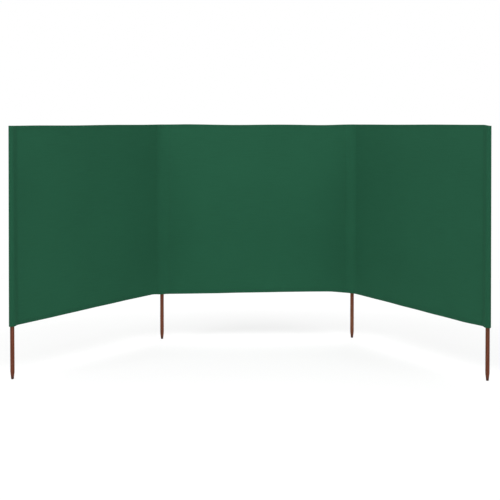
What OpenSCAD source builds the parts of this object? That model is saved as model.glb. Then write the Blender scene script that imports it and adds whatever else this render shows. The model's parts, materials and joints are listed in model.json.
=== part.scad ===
// Beach windbreak: three bays of cloth on four round wooden poles.
// The origin is the centre of the left inner pole's foot. +X runs along the middle bay to the
// right inner pole, -Y is the sheltered side, which the two wings turn towards, and +Z is up.

/* [Windbreak] */
// Distance from pole axis to pole axis along one bay
bay_pitch = 1335; // [900:5:1800]
// Height of the cloth at a pole, from the mouth of its sleeve to the top
cloth_height = 1186; // [800:2:1400]
// Turn of the left wing out of the line of the middle bay, in degrees
left_turn = 52; // [0:1:110]
// Turn of the right wing out of the line of the middle bay, in degrees
right_turn = 61; // [0:1:110]

/* [Poles] */
// Length of a pole from its foot to its top
pole_length = 1500; // [1450:5:1900]
// Diameter of a pole
pole_d = 25; // [18:0.5:40]
// Length of the tapered point
point_length = 43; // [20:1:90]
// Diameter of the blunt point across its lower edge
point_d = 15.5; // [8:0.5:17]
// Rounding of the point's lower edge
point_round = 2.5; // [0.5:0.1:3.5]
// Rounding of the edge at the top of a pole
pole_top_round = 3; // [0.5:0.1:8]

/* [Cloth] */
// Thickness of one layer of cloth
cloth_t = 1; // [0.4:0.1:2]
// Rise of the top edge of the left bay over a straight line
left_top_rise = 1; // [-30:0.5:40]
// Rise of the top edge of the middle bay, which dips a little below the line
middle_top_rise = -3; // [-30:0.5:40]
// Rise of the top edge of the right bay over a straight line
right_top_rise = 7; // [-30:0.5:40]
// Rise of the lower edge of the left bay over a straight line
left_hem_rise = 9; // [-30:0.5:40]
// Rise of the lower edge of the middle bay over a straight line
middle_hem_rise = 11; // [-30:0.5:40]
// Rise of the lower edge of the right bay, which hangs a little below the line
right_hem_rise = -6; // [-30:0.5:40]
// Where the edges are furthest from that line, as a share of the bay from its left pole
edge_peak = 0.82; // [0.2:0.01:0.9]

/* [Hems] */
// Height of the turned hems along the top and the bottom
hem_height = 25; // [10:1:60]
// Thickness of the cloth that is turned over
hem_t = 1; // [0.4:0.1:2]

/* [Pole sleeves] */
// Slack between a pole and the cloth round it
sleeve_clearance = 0.3; // [0.1:0.1:2]
// How far the stitched seam of an inner sleeve lies from the round of the sleeve
inner_seam_reach = 19; // [8:1:24]
// How far the stitched seam of an end sleeve lies from the round of the sleeve
end_seam_reach = 28; // [8:1:60]
// How far the outer fold of an end sleeve stands off the round of the sleeve
fold_slack = 4; // [1:0.5:15]
// Outer radius of that fold
fold_r = 2.5; // [2.1:0.1:6]
// Gap between a hem that is turned up round a sleeve and the sleeve
hem_gap = 0.1; // [0.05:0.05:0.5]
// Gap between a wing's edge and the sleeve that it swings round
hinge_gap = 0.3; // [0.2:0.1:2]

/* [Hidden] */
$fn = 64;
CLOTH_GREEN = "#25553e";
HEM_GREEN = "#224f3a";
POLE_BROWN = "#6a4435";

// Steps along a curved edge of the cloth, and the longest step along an arc of a sleeve's plan in degrees
EDGE_STEPS = 24;
ARC_STEP = 7;
// Spare length of a cutting shape past the face that it cuts
OVERCUT = 1;

// The sleeve is a round of cloth on the pole, closed by one layer over the pole's top
sleeve_in = pole_d / 2 + sleeve_clearance;
sleeve_out = sleeve_in + cloth_t;
sleeve_top = pole_length + sleeve_clearance + cloth_t;
cloth_bottom = sleeve_top - cloth_height;
inner_seam = sleeve_out + inner_seam_reach;
end_seam = sleeve_out + end_seam_reach;
fold_x = sleeve_out + fold_slack - fold_r;
hem_round_in = sleeve_out + hem_gap;
hem_round_out = hem_round_in + hem_t;
// Where a wing's cloth starts, outside the hems on the sleeve that it swings round
hinge_edge = hem_round_out + hinge_gap;

POLE_NAMES = ["left_end", "left_inner", "right_inner", "right_end"];
BAY_NAMES = ["left", "middle", "right"];

// Share of the full rise at a share u of the bay: 0 at both poles and 1 at the peak
function rise_share(u) = (1 - cos(180 * min(u / edge_peak, (1 - u) / (1 - edge_peak)))) / 2;

// Height of the top edge at a distance x from the bay's left pole
function top_edge(x, rise) = sleeve_top + rise * rise_share(x / bay_pitch);

// Height of the lower edge at a distance x from the bay's left pole
function lower_edge(x, rise) = cloth_bottom + rise * rise_share(x / bay_pitch);

// Distances from the bay's left pole at which a curved edge has its points
function edge_places(start, stop) = [for (i = [0:EDGE_STEPS]) start + (stop - start) * i / EDGE_STEPS];

// Points along an arc about a centre on the X axis
function arc(centre_x, r, start, stop) =
    let (steps = ceil((stop - start) / ARC_STEP))
    [for (i = [0:steps])
        let (angle = start + (stop - start) * i / steps)
        [centre_x + r * cos(angle), r * sin(angle)]];

// Angle from +X at which the outside of a sleeve, grown by a thickness, leaves its round for the seam
function seam_lean(grown, folded) =
    let (corner = [folded ? end_seam : inner_seam, cloth_t / 2 + grown])
    atan2(corner.y, corner.x) + acos((sleeve_out + grown) / norm(corner));

// Angle from -X at which a sleeve leaves its round for the outer fold
fold_lean = acos((sleeve_out - fold_r) / fold_x);

// Arcs from one side of the seam round the pole to the other side, by way of the fold where there is one
function sleeve_round(r, lean, fold_radius, folded) = folded
    ? concat(
        arc(0, r, lean, 180 - fold_lean),
        arc(-fold_x, fold_radius, 180 - fold_lean, 180 + fold_lean),
        arc(0, r, 180 + fold_lean, 360 - lean)
    )
    : arc(0, r, lean, 360 - lean);

// Plan of the outside of a sleeve with its seam towards +X, grown outwards by a thickness
module sleeve_outside(grown, folded) {
    seam = folded ? end_seam : inner_seam;
    half_seam = cloth_t / 2 + grown;
    polygon(concat(
        [[seam, half_seam]],
        sleeve_round(sleeve_out + grown, seam_lean(grown, folded), fold_r + grown, folded),
        [[seam, -half_seam]]
    ));
}

// Plan of the hollow in a sleeve, one layer of cloth inside its outside
module sleeve_hollow(folded) {
    lean = seam_lean(0, folded);
    polygon(concat(
        [[sleeve_in / cos(lean), 0]],
        sleeve_round(sleeve_in, lean, fold_r - cloth_t, folded)
    ));
}

// Half of a pole's outline: a blunt point with a rounded lower edge and a top with a rounded rim
module pole_outline() {
    r = pole_d / 2;
    round_x = point_d / 2 - point_round;
    shoulder = [r - round_x, point_length - point_round];
    tangent = atan2(shoulder.y, shoulder.x) - acos(point_round / norm(shoulder));
    rim = [r - pole_top_round, pole_length - pole_top_round];
    polygon([
        [0, 0],
        [round_x, 0],
        [round_x + point_round * cos(tangent), point_round * (1 + sin(tangent))],
        [r, point_length],
        [r, rim.y],
        [rim.x, pole_length],
        [0, pole_length]
    ]);
    intersection() {
        translate([round_x, point_round]) circle(r = point_round);
        square([r, point_length]);
    }
    translate(rim) circle(r = pole_top_round);
}

// A round wooden pole, standing on its blunt point
module pole() {
    color(POLE_BROWN) rotate_extrude() pole_outline();
}

// The cloth pocket round a pole: open below and closed over the pole's top
module sleeve(folded) {
    color(CLOTH_GREEN) difference() {
        translate([0, 0, cloth_bottom]) linear_extrude(cloth_height) sleeve_outside(0, folded);
        translate([0, 0, cloth_bottom - OVERCUT])
            linear_extrude(cloth_height - cloth_t + OVERCUT) sleeve_hollow(folded);
    }
}

// A hem turned round a sleeve, with its lower edge at a height
module sleeve_hem(height, folded) {
    color(HEM_GREEN) translate([0, 0, height]) linear_extrude(hem_height) difference() {
        sleeve_outside(hem_gap + hem_t, folded);
        sleeve_outside(hem_gap, folded);
    }
}

// The hem turned up at the mouth of a sleeve
module mouth_hem(folded) {
    sleeve_hem(cloth_bottom, folded);
}

// The hem turned down at the closed top of a sleeve
module cap_hem(folded) {
    sleeve_hem(sleeve_top - hem_height, folded);
}

// Raises an outline drawn in X and Z to a sheet whose front is at the distance y
module upright(y, thickness) {
    translate([0, y + thickness, 0]) rotate([90, 0, 0]) linear_extrude(thickness) children();
}

// The cloth of one bay between two distances from its left pole
module bay_cloth(start, stop, top_rise, hem_rise) {
    places = edge_places(start, stop);
    back = edge_places(stop, start);
    color(CLOTH_GREEN) upright(-cloth_t / 2, cloth_t) polygon(concat(
        [for (x = places) [x, top_edge(x, top_rise)]],
        [for (x = back) [x, lower_edge(x, hem_rise)]]
    ));
}

// The hem turned down behind the top edge of one bay
module top_hem(start, stop, rise) {
    places = edge_places(start, stop);
    back = edge_places(stop, start);
    color(HEM_GREEN) upright(cloth_t / 2, hem_t) polygon(concat(
        [for (x = places) [x, top_edge(x, rise)]],
        [for (x = back) [x, top_edge(x, rise) - hem_height]]
    ));
}

// The hem turned up behind the lower edge of one bay
module bottom_hem(start, stop, rise) {
    places = edge_places(start, stop);
    back = edge_places(stop, start);
    color(HEM_GREEN) upright(cloth_t / 2, hem_t) polygon(concat(
        [for (x = places) [x, lower_edge(x, rise) + hem_height]],
        [for (x = back) [x, lower_edge(x, rise)]]
    ));
}

// Places a bay that is drawn from its left pole, with the left wing ending at the left inner pole
module in_left_wing() {
    rotate([0, 0, left_turn]) translate([-bay_pitch, 0, 0]) children();
}

// Places a bay that is drawn from its left pole, with the right wing starting at the right inner pole
module in_right_wing() {
    translate([bay_pitch, 0, 0]) rotate([0, 0, -right_turn]) children();
}

// Places a piece at the right pole of a bay, with its seam turned back into the bay
module at_right_pole() {
    translate([bay_pitch, 0, 0]) mirror([1, 0, 0]) children();
}

// Left end pole and its sleeve
in_left_wing() pole();  // left_end_pole
in_left_wing() sleeve(true);  // left_end_sleeve
in_left_wing() mouth_hem(true);  // left_end_mouth_hem
in_left_wing() cap_hem(true);  // left_end_cap_hem

// Left inner pole and its sleeve
pole();  // left_inner_pole
sleeve(false);  // left_inner_sleeve
mouth_hem(false);  // left_inner_mouth_hem
cap_hem(false);  // left_inner_cap_hem

// Right inner pole and its sleeve
at_right_pole() pole();  // right_inner_pole
at_right_pole() sleeve(false);  // right_inner_sleeve
at_right_pole() mouth_hem(false);  // right_inner_mouth_hem
at_right_pole() cap_hem(false);  // right_inner_cap_hem

// Right end pole and its sleeve
in_right_wing() at_right_pole() pole();  // right_end_pole
in_right_wing() at_right_pole() sleeve(true);  // right_end_sleeve
in_right_wing() at_right_pole() mouth_hem(true);  // right_end_mouth_hem
in_right_wing() at_right_pole() cap_hem(true);  // right_end_cap_hem

// Left bay
in_left_wing() bay_cloth(end_seam, bay_pitch - hinge_edge, left_top_rise, left_hem_rise);  // left_bay_cloth
in_left_wing() top_hem(end_seam, bay_pitch - hinge_edge, left_top_rise);  // left_top_hem
in_left_wing() bottom_hem(end_seam, bay_pitch - hinge_edge, left_hem_rise);  // left_bottom_hem

// Middle bay
bay_cloth(inner_seam, bay_pitch - inner_seam, middle_top_rise, middle_hem_rise);  // middle_bay_cloth
top_hem(inner_seam, bay_pitch - inner_seam, middle_top_rise);  // middle_top_hem
bottom_hem(inner_seam, bay_pitch - inner_seam, middle_hem_rise);  // middle_bottom_hem

// Right bay
in_right_wing() bay_cloth(hinge_edge, bay_pitch - end_seam, right_top_rise, right_hem_rise);  // right_bay_cloth
in_right_wing() top_hem(hinge_edge, bay_pitch - end_seam, right_top_rise);  // right_top_hem
in_right_wing() bottom_hem(hinge_edge, bay_pitch - end_seam, right_hem_rise);  // right_bottom_hem
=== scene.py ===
"""Beach windbreak: three bays of plain green cloth on four stained wooden poles.

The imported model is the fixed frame. Here the cloth becomes sheets with turned hems, pole pockets and rows
of stitches, and the poles become turned wood. All sizes are in metres.
"""

import json
import logging
import math
from collections.abc import Sequence
from dataclasses import dataclass
from enum import Enum
from itertools import pairwise
from typing import Any

import bpy
import numpy as np
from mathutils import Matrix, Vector

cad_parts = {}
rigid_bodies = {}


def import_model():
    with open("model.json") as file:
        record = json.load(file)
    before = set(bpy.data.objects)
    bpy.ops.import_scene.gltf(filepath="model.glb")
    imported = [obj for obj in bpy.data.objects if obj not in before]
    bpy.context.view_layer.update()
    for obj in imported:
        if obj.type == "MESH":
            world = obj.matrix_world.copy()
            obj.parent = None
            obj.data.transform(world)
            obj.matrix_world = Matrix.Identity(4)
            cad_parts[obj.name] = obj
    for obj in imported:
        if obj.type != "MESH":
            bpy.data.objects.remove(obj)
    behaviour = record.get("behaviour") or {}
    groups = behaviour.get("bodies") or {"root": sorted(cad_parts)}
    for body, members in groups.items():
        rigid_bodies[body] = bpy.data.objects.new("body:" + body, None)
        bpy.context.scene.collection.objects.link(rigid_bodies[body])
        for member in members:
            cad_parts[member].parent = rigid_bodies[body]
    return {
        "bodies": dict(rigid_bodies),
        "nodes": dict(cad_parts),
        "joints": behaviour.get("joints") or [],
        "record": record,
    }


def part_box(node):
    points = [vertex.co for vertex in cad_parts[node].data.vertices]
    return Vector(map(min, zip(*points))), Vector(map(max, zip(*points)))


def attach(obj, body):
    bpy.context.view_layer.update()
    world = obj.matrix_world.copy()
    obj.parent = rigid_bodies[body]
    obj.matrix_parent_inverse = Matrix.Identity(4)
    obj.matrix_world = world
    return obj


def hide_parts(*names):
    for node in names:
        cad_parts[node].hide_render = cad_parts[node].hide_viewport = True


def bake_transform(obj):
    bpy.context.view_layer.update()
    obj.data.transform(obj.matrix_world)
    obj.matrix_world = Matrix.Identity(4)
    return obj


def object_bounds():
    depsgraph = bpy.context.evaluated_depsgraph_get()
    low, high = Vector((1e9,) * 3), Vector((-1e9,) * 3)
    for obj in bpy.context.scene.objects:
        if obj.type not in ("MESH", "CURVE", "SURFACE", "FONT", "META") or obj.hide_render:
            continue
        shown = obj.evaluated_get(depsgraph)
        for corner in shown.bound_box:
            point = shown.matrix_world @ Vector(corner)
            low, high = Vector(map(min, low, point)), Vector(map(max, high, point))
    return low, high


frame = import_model()
CAD_LOW, CAD_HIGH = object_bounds()

Array = np.ndarray
Colour = tuple[float, float, float]
Material = bpy.types.Material
Object = bpy.types.Object
Span = tuple[float, float]
# A row of stitches: their starts, their ends and the directions away from the cloth.
Stitches = tuple[Array, Array, Array]

MIDDLE_BODY = "middle_bay"
WHITE = (1.0, 1.0, 1.0, 1.0)
SHARP_ANGLE = math.radians(40)

log = logging.getLogger("windbreak")


# Shader maths

class Value:
    """A number that a shader node gives out, with arithmetic that adds Math nodes."""

    def __init__(self, graph: "Graph", socket: bpy.types.NodeSocket) -> None:
        """Wraps a socket of a graph."""
        self.graph = graph
        self.socket = socket

    def _math(self, operation: str, first: Any, second: Any) -> "Value":
        """Adds a Math node.

        Args:
            operation: Name of the Math node's operation.
            first: First value, a number or a Value.
            second: Second value, a number or a Value.

        Returns:
            The node's result.
        """
        return self.graph.node("ShaderNodeMath", {"operation": operation}, {0: first, 1: second})

    def __add__(self, other: Any) -> "Value":
        """Returns the sum."""
        return self._math("ADD", self, other)

    __radd__ = __add__

    def __sub__(self, other: Any) -> "Value":
        """Returns the difference."""
        return self._math("SUBTRACT", self, other)

    def __rsub__(self, other: Any) -> "Value":
        """Returns the other value less this one."""
        return self._math("SUBTRACT", other, self)

    def __mul__(self, other: Any) -> "Value":
        """Returns the product."""
        return self._math("MULTIPLY", self, other)

    __rmul__ = __mul__

    def sine(self) -> "Value":
        """Returns the sine of this value in radians."""
        return self._math("SINE", self, 0.0)

    def maximum(self, other: Any) -> "Value":
        """Returns the larger of the two values."""
        return self._math("MAXIMUM", self, other)

    def ramp(self, start: float, stop: float) -> "Value":
        """Returns 0 below start, 1 above stop and a smooth rise between them."""
        settings = {"interpolation_type": "SMOOTHSTEP", "clamp": True}
        return self.graph.node("ShaderNodeMapRange", settings, {"Value": self, 1: start, 2: stop})

    def between(self, low: float, high: float) -> "Value":
        """Returns a number that runs from low to high as this value runs from 0 to 1."""
        return self * (high - low) + low


class Graph:
    """The node tree of one material or of the world."""

    # A Mix node's colour sockets, which share their names with its sockets for other values.
    MIX_COLOURS = (6, 7)
    MIX_RESULT = 2

    def __init__(self, owner: Material | bpy.types.World) -> None:
        """Empties the owner's tree and adds its output node.

        Args:
            owner: The material or the world.
        """
        owner.use_nodes = True
        self.tree = owner.node_tree
        self.tree.nodes.clear()
        kind = "World" if isinstance(owner, bpy.types.World) else "Material"
        self.output = self.tree.nodes.new(f"ShaderNodeOutput{kind}")

    def node(
        self,
        kind: str,
        settings: dict[str, Any] | None = None,
        inputs: dict[str | int, Any] | None = None,
        output: str | int = 0,
    ) -> Value:
        """Adds one node.

        Args:
            kind: The node's type.
            settings: Properties of the node, set before its sockets.
            inputs: Values or links of its sockets, by name or number.
            output: The socket that is given out.

        Returns:
            That socket as a Value.
        """
        made = self.tree.nodes.new(kind)
        for key, setting in (settings or {}).items():
            setattr(made, key, setting)
        for key, value in (inputs or {}).items():
            if isinstance(value, Value):
                self.tree.links.new(value.socket, made.inputs[key])
            else:
                made.inputs[key].default_value = value
        return Value(self, made.outputs[output])

    def mix(self, share: Any, low: Any, high: Any) -> Value:
        """Mixes two colours.

        Args:
            share: Share of the second colour.
            low: First colour.
            high: Second colour.

        Returns:
            The mixed colour.
        """
        inputs = {"Factor": share}
        for socket, colour in zip(self.MIX_COLOURS, (low, high)):
            inputs[socket] = colour if isinstance(colour, Value) else (*colour, 1.0)
        return self.node("ShaderNodeMix", {"data_type": "RGBA"}, inputs, self.MIX_RESULT)

    def scaled(self, vector: Value, scale: tuple[float, float, float]) -> Value:
        """Stretches a coordinate along its axes."""
        return self.node("ShaderNodeMapping", {}, {"Vector": vector, "Scale": scale})

    def noise(self, vector: Value, scale: float, detail: float = 2.0) -> Value:
        """Returns soft noise from 0 to 1 over a coordinate."""
        return self.node("ShaderNodeTexNoise", {}, {"Vector": vector, "Scale": scale, "Detail": detail})

    def coordinate(self, name: str) -> Value:
        """Returns one of the texture coordinates of the piece."""
        return self.node("ShaderNodeTexCoord", output=name)

    def attribute(self, name: str) -> Value:
        """Returns one of the named numbers that the piece carries."""
        return self.node("ShaderNodeAttribute", {"attribute_name": name}, output="Fac")

    def parts(self, vector: Value) -> tuple[Value, Value, Value]:
        """Returns the three numbers of a vector."""
        made = self.node("ShaderNodeSeparateXYZ", {}, {0: vector}).socket.node
        return tuple(Value(self, socket) for socket in made.outputs)

    def finish(self, shader: Value) -> None:
        """Sends a shader to the output."""
        self.tree.links.new(shader.socket, self.output.inputs["Surface"])

    def dress(self, colour: Value, roughness: Value, specular: float,
              height: Value | None = None) -> None:
        """Sends a plain surface to the output.

        Args:
            colour: Its colour.
            roughness: Its roughness.
            specular: Strength of its shine.
            height: Its relief in metres, where it has one.
        """
        inputs = {"Base Color": colour, "Roughness": roughness, "Specular IOR Level": specular}
        if height is not None:
            relief = {"Strength": 1.0, "Distance": 1.0, "Height": height}
            inputs["Normal"] = self.node("ShaderNodeBump", {}, relief)
        self.finish(self.node("ShaderNodeBsdfPrincipled", {}, inputs))


def shaded(colour: Colour, factor: float) -> Colour:
    """Returns a colour made lighter or darker by a factor."""
    return tuple(channel * factor for channel in colour)


# Finishes

@dataclass(frozen=True)
class ClothFinish:
    """Closely woven, matt green cloth with a faint slub, and painted shade that darkens it where it lies
    double.
    """

    colour: Colour = (0.0150, 0.0868, 0.0452)
    # Painted shade: where the cloth lies double, its colour is darkened by this factor, in place of the
    # light that one layer lets through from behind and two layers do not.
    painted_double_shade: float = 0.95
    shade: float = 0.05
    tone_range: Span = (0.3, 0.7)
    slub_share: float = 0.6
    cloud_scale: float = 2.2
    roughness: Span = (0.83, 0.93)
    specular: float = 0.08
    yarn: float = 0.0011
    yarn_run: float = 0.03
    slub_length: float = 0.12
    slub_width: float = 0.005
    pucker_length: float = 0.011
    pucker_height: float = 0.031
    weave_depth: float = 0.000015
    yarn_depth: float = 0.0002
    slub_depth: float = 0.00012
    pucker_depth: float = 0.0006

    def material(self) -> Material:
        """Makes the cloth's material, which reads the piece's UV map in metres.

        Returns:
            The material.
        """
        made = bpy.data.materials.new("woven_cloth")
        graph = Graph(made)
        flat = graph.coordinate("UV")
        along, up, _ = graph.parts(flat)
        slub = self._streaks(graph, flat, self.slub_length, self.slub_width)
        cloud = graph.noise(graph.coordinate("Object"), self.cloud_scale)
        tone = slub * self.slub_share + cloud * (1 - self.slub_share)
        dark, light = (shaded(self.colour, 1 + sign * self.shade) for sign in (-1, 1))
        single = graph.mix(tone.ramp(*self.tone_range), dark, light)
        # Hems and pockets, where the cloth lies double, get painted shade: a darker copy of the colour.
        colour = graph.mix(graph.attribute("layers"), single, shaded(self.colour, self.painted_double_shade))
        weave = (along * (math.pi / self.yarn)).sine() * (up * (math.pi / self.yarn)).sine()
        weft = self._streaks(graph, flat, self.yarn_run, self.yarn)
        warp = self._streaks(graph, flat, self.yarn, self.yarn_run)
        waver = self._streaks(graph, flat, self.pucker_length, self.pucker_height)
        height = (weave * self.weave_depth + (weft + warp) * self.yarn_depth + slub * self.slub_depth
                  + waver * graph.attribute("pucker") * self.pucker_depth)
        graph.dress(colour, (1 - tone).between(*self.roughness), self.specular, height)
        return made

    @staticmethod
    def _streaks(graph: Graph, flat: Value, length: float, height: float) -> Value:
        """Returns noise in streaks of a length and a height on the flat cloth."""
        return graph.noise(graph.scaled(flat, (1 / length, 1 / height, 1.0)), 1.0)


@dataclass(frozen=True)
class ThreadFinish:
    """Twisted sewing thread, a shade darker than the cloth."""

    colour: Colour = (0.013, 0.066, 0.036)
    shades: Span = (0.8, 1.25)
    mottle_scale: float = 180.0
    roughness: Span = (0.63, 0.78)
    specular: float = 0.25

    def material(self) -> Material:
        """Makes the thread's material.

        Returns:
            The material.
        """
        made = bpy.data.materials.new("sewing_thread")
        graph = Graph(made)
        tone = graph.noise(graph.coordinate("Object"), self.mottle_scale)
        dark, light = (shaded(self.colour, shade) for shade in self.shades)
        graph.dress(graph.mix(tone, dark, light), tone.between(*self.roughness), self.specular)
        return made


@dataclass(frozen=True)
class Grain:
    """One part of the wood's figure: noise whose scale along Z is only a share of that across it."""

    scale: float
    along: float
    detail: float

    def draw(self, graph: Graph, place: Value) -> Value:
        """Returns the noise over a coordinate."""
        return graph.noise(graph.scaled(place, (1.0, 1.0, self.along)), self.scale, self.detail)


@dataclass(frozen=True)
class WoodFinish:
    """Softwood pole, stained brown, with grain along its length and a worn, darker point."""

    dark: Colour = (0.086, 0.030, 0.016)
    light: Colour = (0.193, 0.071, 0.037)
    red: Colour = (0.177, 0.049, 0.028)
    soiled: Colour = (0.048, 0.019, 0.014)
    fibre: Grain = Grain(620.0, 0.02, 3.0)
    figure: Grain = Grain(95.0, 0.05, 2.0)
    tint: Grain = Grain(9.0, 0.5, 1.0)
    fibre_share: float = 0.55
    grain_range: Span = (0.32, 0.68)
    tint_range: Span = (0.35, 0.65)
    soiled_range: Span = (0.004, 0.05)
    soiled_wander: float = 0.02
    roughness: Span = (0.6, 0.8)
    specular: float = 0.08
    grain_depth: float = 0.00025

    def material(self) -> Material:
        """Makes the wood's material, whose grain runs up Z.

        Returns:
            The material.
        """
        made = bpy.data.materials.new("stained_wood")
        graph = Graph(made)
        place = graph.coordinate("Object")
        fibre, figure, tint = (part.draw(graph, place) for part in (self.fibre, self.figure, self.tint))
        grain = (fibre * self.fibre_share + figure * (1 - self.fibre_share)).ramp(*self.grain_range)
        wood = graph.mix(grain, self.dark, graph.mix(tint.ramp(*self.tint_range), self.red, self.light))
        _, _, height = graph.parts(place)
        clean = (height + fibre * self.soiled_wander).ramp(*self.soiled_range)
        relief = (fibre + figure) * self.grain_depth
        roughness = (1 - grain).between(*self.roughness)
        graph.dress(graph.mix(clean, self.soiled, wood), roughness, self.specular, relief)
        return made


@dataclass(frozen=True)
class FloorFinish:
    """Pale studio floor that keeps a soft shadow and fades to the white of the backdrop."""

    colour: Colour = (0.88, 0.88, 0.88)
    lift: float = 0.66
    fade: Span = (1.8, 4.0)

    def material(self, centre: Vector) -> Material:
        """Makes the floor's material.

        Args:
            centre: The point on the floor that the fade spreads from.

        Returns:
            The material.
        """
        made = bpy.data.materials.new("studio_floor")
        graph = Graph(made)
        offset = graph.node("ShaderNodeMapping", {}, {
            "Vector": graph.coordinate("Object"),
            "Location": (-centre.x, -centre.y, 0.0),
        })
        distance = graph.node("ShaderNodeVectorMath", {"operation": "LENGTH"}, {0: offset}, "Value")
        white = distance.ramp(*self.fade).between(self.lift, 1.0)
        floor = graph.node("ShaderNodeBsdfDiffuse", {}, {"Color": (*self.colour, 1.0)})
        glow = graph.node("ShaderNodeEmission", {}, {"Color": WHITE, "Strength": 1.0})
        share = white * seen_directly(graph)
        graph.finish(graph.node("ShaderNodeMixShader", {}, {0: share, 1: floor, 2: glow}))
        return made


def seen_directly(graph: Graph) -> Value:
    """Tells the rays that show a surface from those that only light it.

    Args:
        graph: The graph that reads it.

    Returns:
        1 for rays from the camera, or mirrored or let through on their way from it, and else 0.
    """
    rays = [graph.node("ShaderNodeLightPath", output=name)
            for name in ("Is Camera Ray", "Is Glossy Ray", "Is Transmission Ray")]
    return rays[0].maximum(rays[1]).maximum(rays[2])


# Layout

def smooth_step(share: Array) -> Array:
    """Returns a smooth rise from 0 to 1."""
    clipped = np.clip(share, 0.0, 1.0)
    return clipped * clipped * (3 - 2 * clipped)


def unit(vectors: Array) -> Array:
    """Returns vectors made 1 long."""
    return vectors / np.linalg.norm(vectors, axis=-1, keepdims=True)


class Side(Enum):
    """The two wings, as seen from the sheltered side."""

    LEFT = "left"
    RIGHT = "right"

    @property
    def hand(self) -> int:
        """Sign of the turn from a path that runs out along this wing to the back of the cloth."""
        return -1 if self is Side.LEFT else 1

    @property
    def body(self) -> str:
        """Name of the body that this wing moves with."""
        return f"{self.value}_wing"


@dataclass(frozen=True)
class BayEdges:
    """The top and lower edges of one bay, by the distance from its left pole."""

    low: float
    high: float
    pitch: float
    rise: float
    rise_peak: float
    crown: float
    crown_peak: float
    wave: float
    waves: int = 2
    calm_share: float = 0.15

    def top(self, distance: Array) -> Array:
        """Gives the height of the top edge.

        Args:
            distance: Distances from the left pole.

        Returns:
            The heights.
        """
        share = self._share(distance)
        calm = smooth_step(np.minimum(share, 1 - share) / self.calm_share)
        wave = self.wave * calm * np.sin(2 * np.pi * self.waves * share)
        return self.high + self.crown * self._hump(share, self.crown_peak) + wave

    def bottom(self, distance: Array) -> Array:
        """Returns the height of the lower edge."""
        return self.low + self.rise * self._hump(self._share(distance), self.rise_peak)

    def _share(self, distance: Array) -> Array:
        """Returns a distance as a share of the bay."""
        return np.clip(np.asarray(distance) / self.pitch, 0.0, 1.0)

    @staticmethod
    def _hump(share: Array, peak: float) -> Array:
        """Returns a smooth hump from 0 at both poles to 1 at its peak."""
        return smooth_step(np.minimum(share / peak, (1 - share) / (1 - peak)))


# How the edges of each bay rise and fall between its poles, by the bay's name.
EDGE_SHAPES = {
    "left": {"rise": 0.0098, "rise_peak": 0.92, "crown": -0.0005, "crown_peak": 0.5, "wave": 0.0008},
    "middle": {"rise": 0.011, "rise_peak": 0.87, "crown": -0.003, "crown_peak": 0.8, "wave": 0.0018},
    "right": {"rise": -0.0048, "rise_peak": 0.84, "crown": 0.0056, "crown_peak": 0.968, "wave": 0.0004},
}


@dataclass(frozen=True)
class Corner:
    """The plan of one inner pole, where a wing turns out of the line of the middle bay."""

    side: Side
    axis: Array
    inward: Array
    outward: Array
    pitch: float

    @property
    def turn(self) -> float:
        """Angle between the wing and the line of the middle bay, in radians."""
        return math.acos(float(np.clip(-self.inward @ self.outward, -1.0, 1.0)))

    @property
    def wing_back(self) -> Array:
        """Direction from the wing to its back, in plan."""
        return self.side.hand * np.array([-self.outward[1], self.outward[0]])

    @property
    def inside(self) -> Array:
        """Direction from the pole to the inside of the bend, halfway between the two bays."""
        return unit(self.inward + self.outward)

    @property
    def across(self) -> Array:
        """Direction across the bend, from the middle bay to the wing."""
        return unit(self.outward - self.inward)

    def blend_points(self, reach: float) -> tuple[tuple[float, ...], tuple[float, ...]]:
        """Gives a point on each side of the pole, one on the middle bay and one on the wing.

        Args:
            reach: Distance of both points from the pole's axis.

        Returns:
            The point on the middle bay and the point on the wing.
        """
        points = [self.axis + direction * reach for direction in (self.inward, self.outward)]
        return tuple((float(x), float(y), 0.0) for x, y in points)


@dataclass(frozen=True)
class Layout:
    """Where the poles stand and how high the cloth hangs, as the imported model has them."""

    pitch: float
    pole_radius: float
    pole_length: float
    feet: dict[str, Array]
    corners: dict[Side, Corner]
    edges: dict[str, BayEdges]

    @classmethod
    def from_frame(cls, packed: dict[str, Any]) -> "Layout":
        """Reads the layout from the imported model.


        Returns:
            The layout.
        """
        suffix = "_pole_foot"
        feet = {mount["name"].removesuffix(suffix): np.array(mount["pos_m"][:2])
                for mount in packed["record"]["mounts"]}
        across = feet["right_inner"] - feet["left_inner"]
        pitch = float(np.linalg.norm(across))
        corners = {}
        for side, inward in ((Side.LEFT, across / pitch), (Side.RIGHT, -across / pitch)):
            axis = feet[f"{side.value}_inner"]
            outward = feet[f"{side.value}_end"] - axis
            corners[side] = Corner(side, axis, inward, unit(outward), pitch)
        pole_low, pole_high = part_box("left_inner_pole")
        cloth_low, cloth_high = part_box("left_inner_sleeve")
        span = (cloth_low.z, cloth_high.z, pitch)
        edges = {bay: BayEdges(*span, **shape) for bay, shape in EDGE_SHAPES.items()}
        return cls(pitch, (pole_high.x - pole_low.x) / 2, pole_high.z, feet, corners, edges)


# Cloth

class PlanPath:
    """A line in plan that a length of cloth follows."""

    def __init__(self, points: Array, hand: int, zero: int = 0) -> None:
        """Measures the line.

        Args:
            points: Points along it.
            hand: 1 where the cloth's back lies to the left of the line, and -1 where to the right.
            zero: Number of the point that lengths are counted from.
        """
        lengths = np.concatenate([[0.0], np.cumsum(np.linalg.norm(np.diff(points, axis=0), axis=1))])
        self.points = points
        self.lengths = lengths - lengths[zero]
        tangents = unit(np.gradient(points, self.lengths, axis=0))
        self.backs = hand * np.stack([-tangents[:, 1], tangents[:, 0]], axis=1)

    def at(self, length: Array) -> tuple[Array, Array]:
        """Gives places along the line.

        Args:
            length: Lengths along it.

        Returns:
            The points and the unit vectors towards the cloth's back.
        """
        spot, back = (np.stack([np.interp(length, self.lengths, values[:, k]) for k in (0, 1)], axis=-1)
                      for values in (self.points, self.backs))
        return spot, unit(back)


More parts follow.
